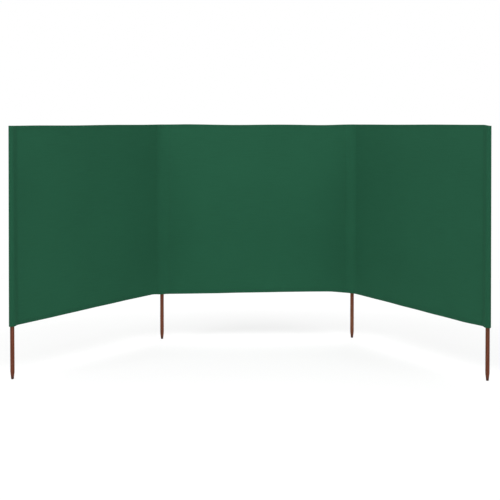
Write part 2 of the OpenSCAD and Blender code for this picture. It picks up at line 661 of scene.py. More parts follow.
@dataclass(frozen=True)
class Hem:
    """A turned hem in section, from its raw edge behind the cloth round the fold to the front.

    Attributes:
        height: Height of the turned layer.
        stitch: Height of the row of stitches.
        puff: Thickness of the hem at its fold.
        gap: Distance between the layers at the stitches.
        raw_gap: Distance between them at the raw edge.
        stitch_pull: Depth of the dent that the stitches make in front.
        pull_spread: Height over which the dent fades.
        stitch_spread: Height over which the stitches gather the cloth.
        puff_reach: Height up to which the fold stays puffed.
        fold_reach: Height of the first points above the fold.
        layer_step: Height over which the painted shade of the double layer ends.
        clear: Height at which the cloth is clear of the hem.
        behind_steps: Steps behind the cloth.
        fold_steps: Steps round the fold.
        front_steps: Steps in front, up to the stitches.
        clear_steps: Steps from the hem's height to the clear cloth.
    """

    height: float = 0.025
    stitch: float = 0.021
    puff: float = 0.0015
    gap: float = 0.0007
    raw_gap: float = 0.00084
    stitch_pull: float = 0.00012
    pull_spread: float = 0.003
    stitch_spread: float = 0.006
    puff_reach: float = 0.007
    fold_reach: float = 0.003
    layer_step: float = 0.001
    clear: float = 0.038
    behind_steps: int = 7
    fold_steps: int = 6
    front_steps: int = 5
    clear_steps: int = 2

    def section(self) -> tuple[Array, Array, Array]:
        """Draws the section.

        Returns:
            Heights from the edge, distances behind the front of the cloth, and lengths along the cloth
            from the fold, which are negative behind.
        """
        behind = np.linspace(self.height, self.fold_reach, self.behind_steps + 1)
        angles = np.linspace(0.0, np.pi, self.fold_steps + 1)
        radius = self.puff / 2
        fold_height = radius * (1 - np.sin(angles))
        fold_back = radius * (1 + np.cos(angles))
        front = np.concatenate([
            np.linspace(self.fold_reach, self.stitch, self.front_steps + 1),
            [self.height, self.height + self.layer_step],
            np.linspace(self.height, self.clear, self.clear_steps + 1)[1:],
        ])
        pull = self.stitch_pull * np.exp(-((front - self.stitch) / self.pull_spread) ** 2)
        heights = np.concatenate([behind, fold_height, front])
        backs = np.concatenate([self.behind(behind), fold_back, pull])
        lengths = np.concatenate([-behind, np.linspace(-radius, radius, len(angles)), front])
        return heights, backs, lengths

    def behind(self, heights: Array) -> Array:
        """Returns how far the turned layer lies behind the cloth's front at heights from the edge."""
        return np.interp(heights, [0.0, self.puff_reach, self.stitch, self.height],
                         [self.puff, self.puff, self.gap, self.raw_gap])

    def hold(self, heights: Array) -> Array:
        """Returns 1 on the hem and a smooth fall to 0 where the cloth is clear of it."""
        return 1 - smooth_step((heights - self.height) / (self.clear - self.height))

    def pucker(self, heights: Array) -> Array:
        """Returns how strongly the stitches gather the cloth at heights from the edge."""
        return np.exp(-((heights - self.stitch) / self.stitch_spread) ** 2)


@dataclass(frozen=True)
class Wave:
    """One slanting wave over a bay, by its turns along the bay and its slant up the cloth."""

    turns: float
    slant: float
    phase: float
    strength: float = 1.0

    def at(self, share: Array, height: Array, phase: float) -> Array:
        """Returns the wave at shares of the bay's length and height, where the bay has its own phase."""
        angle = self.turns * (2 * np.pi * share) + self.slant * height + self.phase * phase
        return self.strength * np.sin(angle)


@dataclass(frozen=True)
class Sway:
    """The slight waviness of one hung bay, which fades out towards its poles.

    Attributes:
        belly: Greatest depth of the bay.
        phase: The bay's own phase.
        belly_edge: Share of that depth at the top and lower edges.
        still: Distance from a pole within which the cloth is flat.
        ease: Distance beyond that over which the waviness sets in.
        ripple: Strength of the ripples.
        ripples: The ripples.
        flutter: Strength of the edges' own wave.
        edge_wave: That wave.
        edge_power: How closely it keeps to the edges.
    """

    belly: float
    phase: float
    belly_edge: float = 0.45
    still: float = 0.085
    ease: float = 0.3
    ripple: float = 0.0009
    ripples: tuple[Wave, ...] = (Wave(2.3, 1.9, 1.0), Wave(3.7, -3.1, 2.1, 0.6), Wave(1.4, 5.3, 0.7, 0.5))
    flutter: float = 0.0012
    edge_wave: Wave = Wave(4.6, 3.0, 1.3)
    edge_power: int = 8

    def offset(self, distance: Array, height: Array, pitch: float) -> Array:
        """Gives the cloth's distance behind its plane.

        Args:
            distance: Distance from one of the bay's poles.
            height: Height as a share of the cloth.
            pitch: Length of the bay.

        Returns:
            The distances.
        """
        share = np.clip(distance / pitch, 0.0, 1.0)
        near = np.minimum(distance, pitch - distance)
        calm = smooth_step((near - self.still) / self.ease)
        bulge = self.belly_edge + (1 - self.belly_edge) * np.sin(np.pi * height)
        belly = self.belly * np.sin(np.pi * share) * bulge
        ripple = self.ripple * sum(wave.at(share, height, self.phase) for wave in self.ripples)
        edge = np.abs(2 * height - 1) ** self.edge_power
        flutter = self.flutter * edge * self.edge_wave.at(share, height, self.phase)
        return calm * (belly + ripple + flutter)


# The waviness of each bay, by the bay's name.
SWAYS = {"left": Sway(0.006, 0.4), "middle": Sway(0.007, 2.0), "right": Sway(0.005, 4.1)}


@dataclass
class ClothSurface:
    """A length of hung cloth: a path in plan with the cloth's edges, looseness and waviness along it.

    Attributes:
        path: The path, at whose points the arrays below are known.
        bottom: Heights of the lower edge.
        top: Heights of the top edge.
        distance: Distances from one of the bay's poles.
        pitch: Length of the bay.
        sway: Its waviness.
        swell: Share of the hems' full thickness.
        lift: How far the hems are pushed back.
        painted_double_shade: 1 where the cloth lies double over its whole height, which the finish darkens
            as painted shade.
        flare: How far the lower edge stands forward of the path.
    """

    path: PlanPath
    bottom: Array
    top: Array
    distance: Array
    pitch: float
    sway: Sway
    swell: Array | float = 1.0
    lift: Array | float = 0.0
    painted_double_shade: Array | float = 0.0
    flare: Array | float = 0.0

    def edges(self, length: Array) -> tuple[Array, Array]:
        """Returns the heights of the lower and top edges at lengths along the path."""
        return self.along(self.bottom, length), self.along(self.top, length)

    def along(self, values: Array | float, length: Array) -> Array:
        """Returns values that are known at the path's points at other lengths."""
        return np.interp(length, self.path.lengths, np.broadcast_to(values, self.path.lengths.shape))

    def place(self, length: Array, height: Array, back: Array) -> Array:
        """Gives points of the cloth.

        Args:
            length: Lengths along the path.
            height: Heights above the ground.
            back: Distances behind the cloth's own surface.

        Returns:
            Points in the model's frame.
        """
        spot, normal = self.path.at(length)
        low, high = self.edges(length)
        share = np.clip((height - low) / (high - low), 0.0, 1.0)
        offset = back + self.sway.offset(self.along(self.distance, length), share, self.pitch)
        offset = offset - self.along(self.flare, length) * (1 - share)
        plan = spot + normal * offset[..., None]
        return np.concatenate([plan, height[..., None]], axis=-1)


def select_only(obj: Object) -> None:
    """Makes one object the selected and active one.

    Args:
        obj: The object.
    """
    bpy.ops.object.select_all(action="DESELECT")
    obj.select_set(True)
    bpy.context.view_layer.objects.active = obj


def mesh_object(name: str, points: Array, faces: Array, material: Material) -> Object:
    """Makes an object from points and four-sided faces.

    Args:
        name: Name of the piece.
        points: Its vertices.
        faces: Four vertex numbers for each face.
        material: Its finish.

    Returns:
        The object, at the origin.
    """
    mesh = bpy.data.meshes.new(name)
    mesh.from_pydata(points.tolist(), [], faces.tolist())
    mesh.materials.append(material)
    obj = bpy.data.objects.new(name, mesh)
    bpy.context.scene.collection.objects.link(obj)
    return obj


def grid_object(name: str, points: Array, uv: Array, values: dict[str, Array],
                material: Material) -> Object:
    """Makes a thin sheet from a grid of points.

    Args:
        name: Name of the piece.
        points: Grid of points, rows first.
        uv: Place of each point on the flat cloth, in metres.
        values: Named numbers at each point that the finish reads.
        material: Its finish.

    Returns:
        The object, one layer thick.
    """
    rows, columns = points.shape[:2]
    number = np.arange(rows * columns).reshape(rows, columns)
    faces = np.stack([number[:-1, :-1], number[:-1, 1:], number[1:, 1:], number[1:, :-1]], axis=-1)
    obj = mesh_object(name, points.reshape(-1, 3), faces.reshape(-1, 4), material)
    mesh = obj.data
    corner = np.empty(len(mesh.loops), dtype=np.int32)
    mesh.loops.foreach_get("vertex_index", corner)
    layer = mesh.uv_layers.new(name="UVMap")
    layer.data.foreach_set("uv", uv.reshape(-1, 2)[corner].astype(np.float32).ravel())
    for key, numbers in values.items():
        attribute = mesh.attributes.new(key, "FLOAT", "POINT")
        attribute.data.foreach_set("value", numbers.astype(np.float32).ravel())
    return obj


def thicken(obj: Object, thickness: float) -> None:
    """Gives a sheet its thickness, half to each side, and smooths it.

    Args:
        obj: The sheet.
        thickness: Its thickness.
    """
    select_only(obj)
    bpy.ops.object.modifier_add(type="SOLIDIFY")
    modifier = obj.modifiers[-1]
    modifier.thickness = thickness
    modifier.offset = 0.0
    bpy.ops.object.modifier_apply(modifier=modifier.name)
    bpy.ops.object.shade_smooth_by_angle(angle=SHARP_ANGLE)


@dataclass(frozen=True)
class StitchRing:
    """One ring of a stitch: its place along the stitch, its width and its lift, all as shares."""

    along: float
    width: float
    lift: float


@dataclass(frozen=True)
class ClothMaker:
    """Sews lengths of cloth: sheets with hems, closed pocket tops and rows of stitches."""

    cloth: Material
    thread: Material
    hem: Hem = Hem()
    thickness: float = 0.0005
    field_rows: int = 100
    cap_depth: float = 0.0009
    cap_rise: float = 0.0004
    cap_steps: int = 8
    stitch_length: float = 0.0033
    stitch_pitch: float = 0.0044
    stitch_width: float = 0.0004
    stitch_height: float = 0.0003
    stitch_proud: float = 0.0003
    stitch_rings: tuple[StitchRing, ...] = (
        StitchRing(0.0, 0.45, -0.7),
        StitchRing(0.22, 1.0, 0.35),
        StitchRing(0.78, 1.0, 0.35),
        StitchRing(1.0, 0.45, -0.7),
    )

    def sheet(self, name: str, surface: ClothSurface) -> Object:
        """Makes a sheet with turned hems along its top and bottom.

        Args:
            name: Name of the piece.
            surface: The cloth that it follows.

        Returns:
            The sheet.
        """
        heights, backs, flats = self.hem.section()
        length = surface.path.lengths
        low, high = surface.edges(length)
        share = np.linspace(0.0, 1.0, self.field_rows + 2)[1:-1, None]
        hem_top = heights[-1]
        field = (low + hem_top) * (1 - share) + (high - hem_top) * share
        height = np.concatenate([low + heights[:, None], field, high - heights[::-1, None]])
        back = np.concatenate([backs, np.zeros(self.field_rows), backs[::-1]])[:, None] * surface.swell
        flat = np.concatenate([np.broadcast_to(flats[:, None], (len(flats), len(length))), field - low,
                               (high - low) - flats[::-1, None]])
        from_edge = np.minimum(height - low, high - height)
        back = back + surface.lift * self.hem.hold(from_edge)
        lengths = np.broadcast_to(length, height.shape)
        points = surface.place(lengths, height, back)
        # Hems and pockets lie double, and the finish darkens them there as painted shade.
        layers = np.maximum(from_edge <= self.hem.height, surface.painted_double_shade)
        flat_place = np.stack([lengths, flat], axis=-1)
        return self._sewn(name, points, flat_place, self.hem.pucker(from_edge), layers)

    def cap(self, name: str, front: Array, rear: Array, height: Array) -> Object:
        """Makes the cloth that closes the top of a pocket.

        Args:
            name: Name of the piece.
            front: Plan of the pocket's front layer, from one seam to the other.
            rear: Plan of its back layer, point for point.
            height: Height of the pocket's top edge at each point.

        Returns:
            The cap.
        """
        share = np.linspace(0.0, 1.0, self.cap_steps + 1)[:, None, None]
        plan = front * (1 - share) + rear * share
        width = np.linalg.norm(rear - front, axis=1)
        dome = np.sin(np.pi * share[..., 0]) * smooth_step(width / width.max())
        level = height - self.cap_depth + self.cap_rise * dome
        points = np.concatenate([plan, level[..., None]], axis=-1)
        flat = np.zeros(plan.shape[:2])
        return self._sewn(name, points, plan, flat, flat)

    def stitches(self, name: str, rows: Sequence[Stitches]) -> Object:
        """Makes rows of stitches as one piece.

        Args:
            name: Name of the piece.
            rows: The rows.

        Returns:
            The stitches.
        """
        start, end, away = (np.concatenate(part) for part in zip(*rows))
        side = unit(np.cross(end - start, away))
        rings = []
        for ring in self.stitch_rings:
            middle = start + (end - start) * ring.along + away * (ring.lift * self.stitch_height)
            reach = side * (ring.width * self.stitch_width)
            crown = away * (ring.width * self.stitch_height)
            corners = [middle - reach, middle + crown, middle + reach, middle - crown]
            rings.append(np.stack(corners, axis=1))
        points = np.stack(rings, axis=1)
        count, levels, sides = points.shape[:3]
        around = np.arange(sides)
        onward = np.roll(around, -1)
        band = np.stack([around, onward, onward + sides, around + sides], axis=1)
        ends = np.stack([around[::-1], around + sides * (levels - 1)])
        stitch = np.concatenate([*(band + sides * level for level in range(levels - 1)), ends])
        faces = np.arange(count)[:, None, None] * (sides * levels) + stitch
        obj = mesh_object(name, points.reshape(-1, 3), faces.reshape(-1, sides), self.thread)
        select_only(obj)
        bpy.ops.object.shade_smooth()
        return obj

    def hem_rows(self, surface: ClothSurface, start: float, stop: float, back: float) -> list[Stitches]:
        """Places the stitches of both hems.

        Args:
            surface: The cloth that is hemmed.
            start: Where the rows start along the path.
            stop: Where they stop.
            back: Distance of the rows behind the cloth's own surface.

        Returns:
            The row of the lower hem and that of the top hem.
        """
        return [self._level_row(surface, start, stop, from_top, back) for from_top in (False, True)]

    def _level_row(self, surface: ClothSurface, start: float, stop: float, from_top: bool,
                   back: float) -> Stitches:
        """Places the stitches of one hem.

        Args:
            surface: The cloth that is hemmed.
            start: Where the row starts along the path.
            stop: Where it stops.
            from_top: True for the top hem and False for the lower one.
            back: Distance of the row behind the cloth's own surface.

        Returns:
            The row.
        """
        first = np.arange(start, stop - self.stitch_length, self.stitch_pitch)
        ends = []
        for length in (first, first + self.stitch_length):
            low, high = surface.edges(length)
            height = high - self.hem.stitch if from_top else low + self.hem.stitch
            ends.append(surface.place(length, height, back + surface.along(surface.lift, length)))
        return *ends, self._away(surface, first, back)

    def upright_row(self, surface: ClothSurface, length: float, behind: bool = False) -> Stitches:
        """Places the stitches of a seam that runs up the cloth.

        Args:
            surface: The cloth that is sewn.
            length: Where the seam lies along the path.
            behind: True for a row on the back of the cloth, which crosses the hems' turned layers.

        Returns:
            The row.
        """
        back = self.stitch_proud if behind else -self.stitch_proud
        lift = surface.along(surface.lift, length)
        (low,), (high,) = surface.edges(np.array([length]))
        first = np.arange(low + self.stitch_pitch, high - 2 * self.stitch_pitch, self.stitch_pitch)
        ends = []
        for height in (first, first + self.stitch_length):
            from_edge = np.minimum(height - low, high - height)
            turned = self.hem.behind(from_edge) * (from_edge < self.hem.height) * behind
            lifted = back + turned + lift * self.hem.hold(from_edge)
            ends.append(surface.place(np.full_like(height, length), height, lifted))
        return *ends, self._away(surface, np.full_like(first, length), back)

    @staticmethod
    def _away(surface: ClothSurface, length: Array, back: float) -> Array:
        """Gives the direction away from the side of the cloth that a row lies on.

        Args:
            surface: The cloth that is sewn.
            length: Lengths along the path.
            back: Distance of the row behind the cloth, which is negative in front of it.

        Returns:
            A unit vector at each length.
        """
        _, normal = surface.path.at(length)
        plan = normal * math.copysign(1.0, back)
        return np.concatenate([plan, np.zeros((len(plan), 1))], axis=1)

    def _sewn(self, name: str, points: Array, uv: Array, pucker: Array, layers: Array) -> Object:
        """Makes a sheet from a grid of points and gives it its thickness.

        Args:
            name: Name of the piece.
            points: Grid of points, rows first.
            uv: Place of each point on the flat cloth, in metres.
            pucker: How strongly stitches gather the cloth at each point.
            layers: 1 where the cloth lies double, which the finish darkens as painted shade, and 0 where it
                is single.

        Returns:
            The sheet.
        """
        obj = grid_object(name, points, uv, {"pucker": pucker, "layers": layers}, self.cloth)
        thicken(obj, self.thickness)
        return obj


@dataclass(frozen=True)
class Pocket:
    """The pocket at the end of a wing: the cloth folded back round the pole and sewn to itself.

    Attributes:
        pole_radius: Radius of the pole that it holds.
        ease: Room between the pole and the cloth.
        seam_reach: Distance from the pole's surface to the seam.
        fold_reach: Distance from the pole's surface to the centre of the outer fold.
        fold_radius: Radius of the outer fold.
        flange: Width of the cloth behind the seam.
        layer: Distance between the two layers at the seam.
        flare: How far the mouth opens beyond the ease.
        arc_step: Largest angle between two points of an arc.
        tangent_steps: Steps between the seam and the pole.
        flange_steps: Steps across the flange.
    """

    pole_radius: float
    ease: float = 0.0024
    seam_reach: float = 0.0293
    fold_reach: float = 0.0032
    fold_radius: float = 0.0023
    flange: float = 0.012
    layer: float = 0.0007
    flare: float = 0.004
    arc_step: float = math.radians(7)
    tangent_steps: int = 4
    flange_steps: int = 2

    @property
    def seam(self) -> float:
        """Distance of the seam from the pole's axis."""
        return self.pole_radius + self.seam_reach

    def loop(self) -> tuple[Array, int]:
        """Draws the pocket in plan, with the pole's axis at the origin.

        Returns:
            Points as distances outward and backward, from the seam round the front and the outer fold to
            the flange behind, and the number of the point where the back layer meets the seam.
        """
        radius = self.pole_radius + self.ease
        fold_centre = self.pole_radius + self.fold_reach
        lean = math.acos((radius - self.fold_radius) / fold_centre)
        leave = math.pi - math.acos(radius / self.seam)
        front = self._arc(0.0, radius, -leave, -lean)
        fold = self._arc(fold_centre, self.fold_radius, -lean, lean)
        rear = self._arc(0.0, radius, lean, leave)
        meeting = (-self.seam, self.layer)
        down = self._line((-self.seam, 0.0), front[0], self.tangent_steps)
        up = self._line(rear[-1], meeting, self.tangent_steps)[1:]
        flange = self._line(meeting, (-self.seam - self.flange, self.layer), self.flange_steps)[1:]
        points = np.concatenate([down[:-1], front, fold[1:-1], rear, up, flange])
        return points, len(points) - len(flange) - 1

    def looseness(self, outward: Array) -> Array:
        """Returns how far the mouth opens beyond the ease at distances outward from the pole's axis."""
        return self.flare * smooth_step(1 + outward / self.seam)

    def _arc(self, centre: float, radius: float, start: float, stop: float) -> Array:
        """Returns points along an arc about a centre on the first axis."""
        angle = np.linspace(start, stop, math.ceil((stop - start) / self.arc_step) + 1)
        return np.stack([centre + radius * np.cos(angle), radius * np.sin(angle)], axis=1)

    @staticmethod
    def _line(start: Sequence[float], stop: Sequence[float], steps: int) -> Array:
        """Returns evenly spaced points along a line."""
        return np.linspace(np.asarray(start), np.asarray(stop), steps + 1)


@dataclass(frozen=True)
class Bend:
    """The round bend of the cloth in front of an inner pole."""

    corner: Corner
    clearance: float
    step: float = math.radians(2.5)

    @property
    def half(self) -> float:
        """Half of the angle that the cloth turns through."""
        return self.corner.turn / 2

    @property
    def radius(self) -> float:
        """Radius at which the cloth keeps its clearance from the pole's axis."""
        return self.clearance / (1 / math.cos(self.half) - 1)

    @property
    def tangent(self) -> float:
        """Distance from the pole's axis to each end of the bend."""
        return self.radius * math.tan(self.half)

    def points(self) -> Array:
        """Draws the bend in plan.

        Returns:
            An odd number of points, from the middle bay to the wing.
        """
        corner = self.corner
        angle = np.linspace(-self.half, self.half, 2 * math.ceil(self.half / self.step) + 1)[:, None]
        centre = corner.axis + corner.inside * (self.radius / math.cos(self.half))
        return centre + self.radius * (corner.across * np.sin(angle) - corner.inside * np.cos(angle))

    def straightened(self, lengths: Array) -> Array:
        """Measures the cloth as if both bays ran on to the pole's axis.

        Args:
            lengths: Lengths along the cloth from the middle of the bend.

        Returns:
            Distances from the axis along the bays, which are negative on the middle bay.
        """
        half_arc = self.radius * self.half
        return np.where(np.abs(lengths) < half_arc, lengths * (self.tangent / half_arc),
                        lengths + np.sign(lengths) * (self.tangent - half_arc))


# Pieces

@dataclass
class Windbreak:
    """The cloth and the poles, built around the layout.

    Attributes:
        layout: Where the poles stand.
        maker: What sews the cloth.
        wood: Finish of the poles.
        join: Distance from an inner pole to the edge where a wing's sheet meets the middle one.
        corner_ease: Room between an inner pole and the cloth in front of it.
        column: Width of a sheet's columns of faces.
        lead_steps: Steps from the join to the bend at the inner pole.
        bend_reach: Distance from an inner pole to the points worked out on either side of it.
        overlap_start: Distance before the end pocket's seam where the hems start to flatten.
        overlap_length: Length over which they do.
        overlap_press: Share of their thickness that they lose.
        flange_lift: How far the end pocket's flange gives way to the hems that it lies on.
        strip_seam: Length along the cloth from an inner pole to each seam of its pocket.
        strip_flange: Width of that pocket's cloth beyond a seam.
        strip_ease: Room between the pole and the pocket behind it.
        strip_lift: How far the pocket gives way to the hems that it lies on.
        strip_inset: How far the pocket's lower edge stays above the cloth's.
        strip_step: Largest angle between two of its points round the pole.
        strip_run_steps: Steps from a seam to the pole.
        cap_inset: How far a pocket's top stays inside the pocket.
        row_inset: Distance of the upright rows from the end pocket's seam.
    """

    layout: Layout
    maker: ClothMaker
    wood: Material
    join: float = 0.075
    corner_ease: float = 0.002
    column: float = 0.010
    lead_steps: int = 3
    bend_reach: float = 0.04
    overlap_start: float = 0.04
    overlap_length: float = 0.025
    overlap_press: float = 0.45
    flange_lift: float = 0.0019
    strip_seam: float = 0.050
    strip_flange: float = 0.008
    strip_ease: float = 0.0019
    strip_lift: float = 0.0016
    strip_inset: float = 0.0005
    strip_step: float = math.radians(6)
    strip_run_steps: int = 5
    cap_inset: float = 0.0004
    row_inset: float = 0.002

    @property
    def pocket(self) -> Pocket:
        """The pocket that fits the poles."""
        return Pocket(self.layout.pole_radius)

    def build(self) -> None:
        """Builds every piece."""
        self._middle()
        for side in Side:
            self._wing(side)
        for name, foot in self.layout.feet.items():
            body = MIDDLE_BODY if name.endswith("inner") else f"{name.removesuffix('_end')}_wing"
            pole = TurnedPole(name, foot, self.layout.pole_radius, self.layout.pole_length)
            pole.build(self.wood, body)

    def _middle(self) -> None:
        """Hangs the middle bay between its two inner poles."""
        layout = self.layout
        left = layout.corners[Side.LEFT]
        count = round((layout.pitch - 2 * self.join) / self.column) + 1
        distance = np.linspace(self.join, layout.pitch - self.join, count)
        path = PlanPath(left.axis + distance[:, None] * left.inward, 1)
        edges = layout.edges["middle"]
        surface = ClothSurface(path, edges.bottom(distance), edges.top(distance), distance, layout.pitch,
                               SWAYS["middle"])
        sheet = self.maker.sheet("middle_bay_sheet", surface)
        stop = path.lengths[-1]
        sewing = self.maker.stitches("middle_bay_stitching", self._hem_rows(surface, 0.0, stop, stop))
        for piece in (sheet, sewing):
            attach(piece, MIDDLE_BODY)
        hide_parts("middle_bay_cloth", "middle_top_hem", "middle_bottom_hem")
        self._declare(surface)

    def _wing(self, side: Side) -> None:
        """Hangs one wing, from the middle bay round the inner pole to the pocket of the end pole.

        Args:
            side: The wing to hang.
        """
        corner = self.layout.corners[side]
        surface, front_seam, rear_seam = self._wing_surface(corner)
        sheet = self.maker.sheet(f"{side.value}_wing_sheet", surface)
        lengths = surface.path.lengths
        rows = self._hem_rows(surface, lengths[0], lengths[-1], lengths[front_seam])
        seams = (-self.strip_seam, self.strip_seam, lengths[front_seam] - self.row_inset,
                 lengths[rear_seam] + self.row_inset)
        rows += [self.maker.upright_row(surface, seam) for seam in seams]
        sewing = self.maker.stitches(f"{side.value}_wing_stitching", rows)
        cap = self._end_cap(side, surface, front_seam, rear_seam)
        self._bend([sheet, sewing], corner)
        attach(cap, side.body)
        bay = [f"{side.value}_{part}" for part in ("bay_cloth", "top_hem", "bottom_hem")]
        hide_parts(*bay, f"{side.value}_end_sleeve", f"{side.value}_end_mouth_hem")
        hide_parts(f"{side.value}_end_cap_hem")
        self._declare(surface)
        self._strip(side, corner, surface)

    def _wing_surface(self, corner: Corner) -> tuple[ClothSurface, int, int]:
        """Lays out one wing's cloth.

        Args:
            corner: The inner pole that the wing swings about.

        Returns:
            The cloth, and the numbers of the path's points at the front and the back of the pocket's seam.
        """
        pitch, pocket = corner.pitch, self.pocket
        bend = Bend(corner, self.layout.pole_radius + self.corner_ease)
        arc = bend.points()
        lead = np.linspace(self.join, bend.tangent, self.lead_steps + 1)[:-1, None]
        run_stop = pitch - pocket.seam
        run_steps = round((run_stop - bend.tangent) / self.column)
        run = np.linspace(bend.tangent, run_stop, run_steps + 1)[1:-1, None]
        loop, rear = pocket.loop()
        points = np.concatenate([
            corner.axis + corner.inward * lead,
            arc,
            corner.axis + corner.outward * run,
            corner.axis + corner.outward * (pitch + loop[:, :1]) + corner.wing_back * loop[:, 1:],
        ])
        path = PlanPath(points, corner.side.hand, len(lead) + len(arc) // 2)
        front_seam = len(points) - len(loop)
        rear_seam = front_seam + rear
        distance = bend.straightened(path.lengths)
        distance[front_seam:] = pitch + loop[:, 0]
        overlap = smooth_step((distance - (run_stop - self.overlap_start)) / self.overlap_length)
        climb = pocket.tangent_steps
        lift = np.zeros(len(points))
        lift[rear_seam:] = -self.flange_lift
        lift[rear_seam - climb:rear_seam + 1] = -self.flange_lift * np.linspace(0.0, 1.0, climb + 1)
        # The pocket lies double, so its cloth gets the painted shade of a double layer.
        painted_double_shade = (np.arange(len(points)) >= front_seam).astype(float)
        flare = np.zeros(len(points))
        flare[front_seam:] = pocket.looseness(loop[:, 0])
        bottom, top = self._wing_edges(corner, distance)
        swell = 1 - self.overlap_press * overlap
        surface = ClothSurface(path, bottom, top, distance, pitch, SWAYS[corner.side.value], swell, lift,
                               painted_double_shade, flare)
        return surface, front_seam, rear_seam

    def _wing_edges(self, corner: Corner, distance: Array) -> tuple[Array, Array]:
        """Gives the edges of a wing's cloth, which starts on the middle bay.

        Args:
            corner: The inner pole that the wing swings about.
            distance: Distances from it, which are negative on the middle bay.

        Returns:
            The heights of the lower edge and those of the top edge.
        """
        is_left = corner.side is Side.LEFT
        on_wing = corner.pitch - distance if is_left else distance
        on_middle = -distance if is_left else corner.pitch + distance
        wing, middle = self.layout.edges[corner.side.value], self.layout.edges["middle"]
        bottom = np.where(distance < 0, middle.bottom(on_middle), wing.bottom(on_wing))
        top = np.where(distance < 0, middle.top(on_middle), wing.top(on_wing))
        return bottom, top

    def _end_cap(self, side: Side, surface: ClothSurface, front_seam: int, rear_seam: int) -> Object:
        """Closes the top of the pocket at the end of a wing.

        Args:
            side: The wing.
            surface: Its cloth.
            front_seam: Number of the path's point at the front of the seam.
            rear_seam: Number of the path's point at the back of the seam.

        Returns:
            The cap.
        """
        loop = slice(front_seam, rear_seam + 1)
        outline = surface.path.points[loop] + self.cap_inset * surface.path.backs[loop]
        half = (len(outline) + 1) // 2
        front, rear = outline[:half], outline[::-1][:half]
        return self.maker.cap(f"{side.value}_end_pocket_top", front, rear, surface.top[loop][:half])

    def _strip(self, side: Side, corner: Corner, wing: ClothSurface) -> None:
        """Sews the pocket of an inner pole to the back of the cloth.

        Args:
            side: The inner pole's side.
            corner: Its place in plan.
            wing: The cloth that the pocket is sewn to.
        """
        surface, seams = self._strip_surface(corner, wing)
        strip = self.maker.sheet(f"{side.value}_inner_pocket", surface)
        rows = [self.maker.upright_row(surface, seam, behind=True) for seam in seams]
        rows += self.maker.hem_rows(surface, *seams, self.maker.hem.gap + self.maker.stitch_proud)
        sewing = self.maker.stitches(f"{side.value}_inner_pocket_stitching", rows)
        cap = self._strip_cap(side, surface, wing)
        self._bend([strip, sewing, cap], corner)
        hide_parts(f"{side.value}_inner_sleeve", f"{side.value}_inner_mouth_hem")
        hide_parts(f"{side.value}_inner_cap_hem")
        self._declare(surface)

    def _strip_surface(self, corner: Corner, wing: ClothSurface) -> tuple[ClothSurface, Array]:
        """Lays out the cloth of an inner pole's pocket, which runs round the back of the pole.

        Args:
            corner: The inner pole.
            wing: The cloth that the pocket is sewn to.

        Returns:
            The cloth, and the lengths along it at its two seams.
        """
        ends = np.array([-self.strip_seam - self.strip_flange, -self.strip_seam,
                         self.strip_seam, self.strip_seam + self.strip_flange])
        spots, backs = wing.path.at(ends)
        spots = spots + backs * self.pocket.layer - corner.axis
        rear = -corner.inside
        seam = np.array([spots[2] @ corner.across, spots[2] @ rear])
        radius = self.layout.pole_radius + self.strip_ease
        leave = math.atan2(seam[1], seam[0]) + math.acos(radius / math.hypot(*seam))
        half_steps = math.ceil((math.pi / 2 - leave) / self.strip_step)
        angle = np.linspace(math.pi - leave, leave, 2 * half_steps + 1)[:, None]
        round_back = radius * (np.cos(angle) * corner.across + np.sin(angle) * rear)
        flange, run = self.pocket.flange_steps, self.strip_run_steps
        points = corner.axis + np.concatenate([
            np.linspace(spots[0], spots[1], flange + 1)[:-1],
            np.linspace(spots[1], round_back[0], run + 1)[:-1],
            round_back,
            np.linspace(round_back[-1], spots[2], run + 1)[1:],
            np.linspace(spots[2], spots[3], flange + 1)[1:],
        ])
        path = PlanPath(points, corner.side.hand, len(points) // 2)
        sewn = path.lengths[[0, flange, -1 - flange, -1]]
        low, high = wing.edges(np.interp(path.lengths, sewn, ends))
        still = Sway(0.0, 0.0, ripple=0.0, flutter=0.0)
        surface = ClothSurface(path, low + self.strip_inset, high, np.zeros(len(points)), corner.pitch,
                               still, lift=self.strip_lift)
        return surface, sewn[1:-1]

    def _strip_cap(self, side: Side, surface: ClothSurface, wing: ClothSurface) -> Object:
        """Closes the top of an inner pole's pocket.

        Args:
            side: The inner pole's side.
            surface: The pocket's cloth.
            wing: The cloth that the pocket is sewn to.

        Returns:
            The cap.
        """
        loop = slice(self.pocket.flange_steps, -self.pocket.flange_steps)
        rear = surface.path.points[loop] - self.cap_inset * surface.path.backs[loop]
        front, backs = wing.path.at(np.linspace(-self.strip_seam, self.strip_seam, len(rear)))
        name = f"{side.value}_inner_pocket_top"
        return self.maker.cap(name, front + self.cap_inset * backs, rear, surface.top[loop])

    def _hem_rows(self, surface: ClothSurface, start: float, front_stop: float,
                  back_stop: float) -> list[Stitches]:
        """Returns the stitches of both hems of a bay, in front and behind."""
        maker = self.maker
        return [*maker.hem_rows(surface, start, front_stop, -maker.stitch_proud),
                *maker.hem_rows(surface, start, back_stop, maker.hem.gap + maker.stitch_proud)]

    def _bend(self, pieces: Sequence[Object], corner: Corner) -> None:
        """Works out two points on either side of an inner pole and bakes each piece's placement into its
        mesh.

        Args:
            pieces: The pieces.
            corner: The inner pole.
        """
        start, end = corner.blend_points(self.bend_reach)
        for piece in pieces:
            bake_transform(piece)

    def _declare(self, surface: ClothSurface) -> None:
        """Works out a sheet's mean flat length, hems included.

        Args:
            surface: The cloth that it follows.
        """
        length = float(np.mean(surface.top - surface.bottom)) + 2 * self.maker.hem.height


